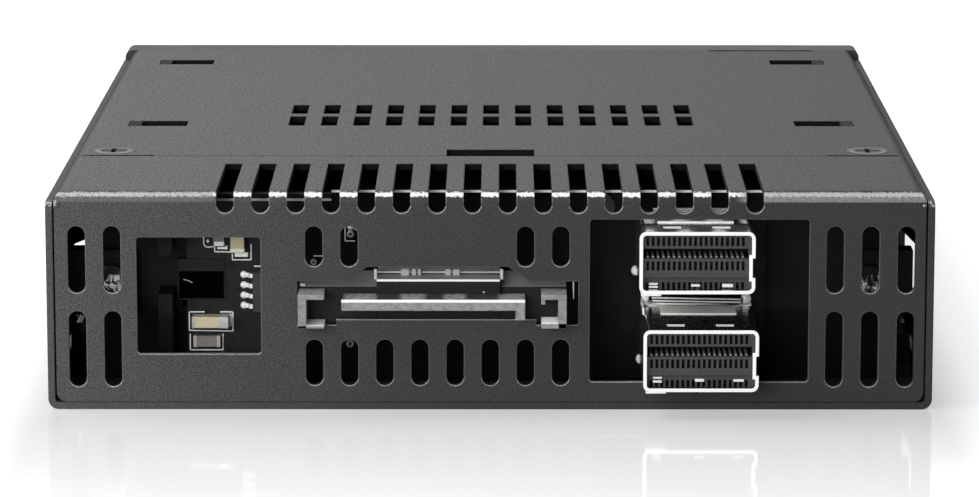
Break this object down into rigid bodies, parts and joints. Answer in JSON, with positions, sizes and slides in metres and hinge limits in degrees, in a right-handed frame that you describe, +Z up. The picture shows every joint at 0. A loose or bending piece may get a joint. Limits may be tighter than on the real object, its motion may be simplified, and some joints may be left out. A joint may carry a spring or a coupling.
{
  "type": "hot swap drive cage",
  "caption": "Flat black steel cage for a 3.5-inch bay, with slotted covers, rear power and host sockets, and sliding trays with hinged levers and key locks.",
  "frame": {"origin": "middle of the underside of the whole cage", "axes": "+X to the right seen from the rear panel, +Y from the rear panel to the tray fronts, +Z up"},
  "size_m": [0.1016, 0.1292, 0.0254],
  "materials": {
    "black_screws": "black zinc",
    "board": "black solder mask",
    "button_plastic": "dark grey moulded",
    "ceramic": "tan ceramic",
    "chip": "black moulded",
    "clear_plastic": "clear moulded",
    "coated_steel": "fine textured black powder coat",
    "contact_metal": "gold plated",
    "frame_plastic": "black moulded",
    "guide_plastic": "black moulded",
    "insert_plastic": "dark grey moulded",
    "lamp": "clear",
    "lock_metal": "plated",
    "screw_steel": "bright zinc",
    "shell_metal": "bright tin plated",
    "socket_plastic": "dark grey moulded",
    "spring_steel": "spring steel",
    "tray_metal": "black anodised",
    "tray_plastic": "black moulded"
  },
  "bodies": {
    "cage": {"backplane_board": "board", "backplane_carrier": "guide_plastic", "board_screws": "black_screws", "capacitors": "ceramic", "carrier_screws": "screw_steel", "chassis_base": "coated_steel", "cover_screws": "black_screws", "drive_contacts": "contact_metal", "drive_socket_lower": "socket_plastic", "drive_socket_upper": "socket_plastic", "front_frame": "frame_plastic", "guide_left": "guide_plastic", "guide_right": "guide_plastic", "guide_screws": "black_screws", "host_contacts_lower": "contact_metal", "host_contacts_upper": "contact_metal", "host_insert_lower": "insert_plastic", "host_insert_upper": "insert_plastic", "host_shell_lower": "shell_metal", "host_shell_upper": "shell_metal", "power_contacts": "contact_metal", "power_housing": "socket_plastic", "rear_cover": "coated_steel", "regulator": "chip", "status_lamps": "lamp", "top_cover": "coated_steel"},
    "lower_tray": {"lower_tray_body": "tray_metal", "lower_tray_face": "tray_plastic", "lower_lever_pin": "screw_steel", "lower_lever_spring": "spring_steel", "lower_button_spring": "spring_steel", "lower_light_pipe": "clear_plastic", "lower_face_screws": "screw_steel"},
    "lower_lever": {"lower_tray_lever": "tray_plastic"},
    "lower_button": {"lower_release_button": "button_plastic"},
    "lower_lock": {"lower_lock_cylinder": "lock_metal"},
    "upper_tray": {"upper_tray_body": "tray_metal", "upper_tray_face": "tray_plastic", "upper_lever_pin": "screw_steel", "upper_lever_spring": "spring_steel", "upper_button_spring": "spring_steel", "upper_light_pipe": "clear_plastic", "upper_face_screws": "screw_steel"},
    "upper_lever": {"upper_tray_lever": "tray_plastic"},
    "upper_button": {"upper_release_button": "button_plastic"},
    "upper_lock": {"upper_lock_cylinder": "lock_metal"}
  },
  "joints": [
    {"name": "lower_tray_slide", "type": "slide", "parent": "cage", "child": "lower_tray", "axis": [0, 1, 0], "range_m": [0, 0.1]},
    {"name": "lower_lever_hinge", "type": "hinge", "parent": "lower_tray", "child": "lower_lever", "pos_m": [0.0436, 0.06245, 0.0069], "axis": [0, 0, -1], "range_deg": [0, 75]},
    {"name": "lower_button_press", "type": "slide", "parent": "lower_tray", "child": "lower_button", "axis": [0, -1, 0], "range_m": [0, 0.0012], "stiffness_N_per_m": 600, "springref_m": -0.001, "deforming": ["lower_button_spring"]},
    {"name": "lower_lock_turn", "type": "hinge", "parent": "lower_tray", "child": "lower_lock", "pos_m": [-0.04309, 0.0616, 0.0069], "axis": [0, 1, 0], "range_deg": [0, 90]},
    {"name": "upper_tray_slide", "type": "slide", "parent": "cage", "child": "upper_tray", "axis": [0, 1, 0], "range_m": [0, 0.1]},
    {"name": "upper_lever_hinge", "type": "hinge", "parent": "upper_tray", "child": "upper_lever", "pos_m": [0.0436, 0.06245, 0.0185], "axis": [0, 0, -1], "range_deg": [0, 75]},
    {"name": "upper_button_press", "type": "slide", "parent": "upper_tray", "child": "upper_button", "axis": [0, -1, 0], "range_m": [0, 0.0012], "stiffness_N_per_m": 600, "springref_m": -0.001, "deforming": ["upper_button_spring"]},
    {"name": "upper_lock_turn", "type": "hinge", "parent": "upper_tray", "child": "upper_lock", "pos_m": [-0.04309, 0.0616, 0.0185], "axis": [0, 1, 0], "range_deg": [0, 90]}
  ]
}
